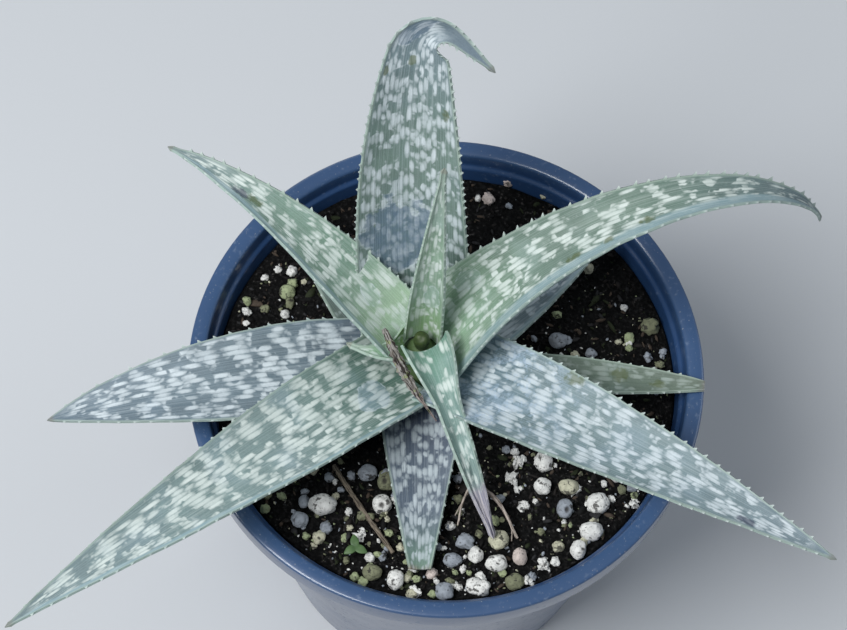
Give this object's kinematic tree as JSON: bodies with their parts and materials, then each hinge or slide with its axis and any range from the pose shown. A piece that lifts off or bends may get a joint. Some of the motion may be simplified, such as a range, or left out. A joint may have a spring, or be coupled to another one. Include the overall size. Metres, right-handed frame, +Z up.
{
  "type": "potted snowflake aloe",
  "caption": "Spotted succulent rosette with toothed tapering leaves, growing in dark potting mix with perlite in a round tapered plastic nursery pot.",
  "frame": {"origin": "middle of the pot's foot, on the surface that the pot stands on", "axes": "+Z up; +Y to the back of the pot, where the tallest leaf stands; +X to the right, where the arched leaf points"},
  "size_m": [0.2329, 0.1797, 0.2366],
  "materials": {
    "pot_plastic": "satin injection-moulded plastic, scuffed on the rim",
    "potting_mix": "damp fine bark and peat",
    "perlite": "matt pitted expanded mineral",
    "young_leaf": "green succulent skin with rows of whitish dashes and a light bloom",
    "old_leaf": "grey-green succulent skin with rows of whitish dashes and a frosty bloom",
    "stem": "pale fibrous stem",
    "dried_leaf": "dry, wrinkled and cracked",
    "dried_root": "dry fibre",
    "twig": "dry bark",
    "seedling": "soft green leaf"
  },
  "bodies": {
    "root": {"pot": "pot_plastic", "potting_mix": "potting_mix", "perlite_grain_1": "perlite", "perlite_grain_2": "perlite", "perlite_grain_3": "perlite", "perlite_grain_4": "perlite", "perlite_grain_5": "perlite", "perlite_grain_6": "perlite", "perlite_grain_7": "perlite", "perlite_grain_8": "perlite", "perlite_grain_9": "perlite", "perlite_grain_10": "perlite", "perlite_grain_11": "perlite", "perlite_grain_12": "perlite", "perlite_grain_13": "perlite", "perlite_grain_14": "perlite", "perlite_grain_15": "perlite", "perlite_grain_16": "perlite", "perlite_grain_17": "perlite", "perlite_grain_18": "perlite", "perlite_grain_19": "perlite", "perlite_grain_20": "perlite", "perlite_grain_21": "perlite", "perlite_grain_22": "perlite", "perlite_grain_23": "perlite", "perlite_grain_24": "perlite", "perlite_grain_25": "perlite", "twig": "twig", "weed_seedling": "seedling", "dried_root_left": "dried_root", "dried_root_right": "dried_root", "stem": "stem", "new_leaf_bud": "young_leaf", "dried_leaf": "dried_leaf", "leaf_centre_upright": "young_leaf", "leaf_front_wilted": "young_leaf", "leaf_left_small": "young_leaf", "leaf_back_left": "young_leaf", "leaf_right_arched": "young_leaf", "leaf_front_left": "young_leaf", "leaf_front_right": "old_leaf", "leaf_back_tall": "old_leaf", "leaf_left": "old_leaf", "leaf_back_right_low": "old_leaf", "leaf_front_short": "old_leaf", "leaf_right_short": "old_leaf", "leaf_back_left_low": "old_leaf"}
  },
  "joints": []
}
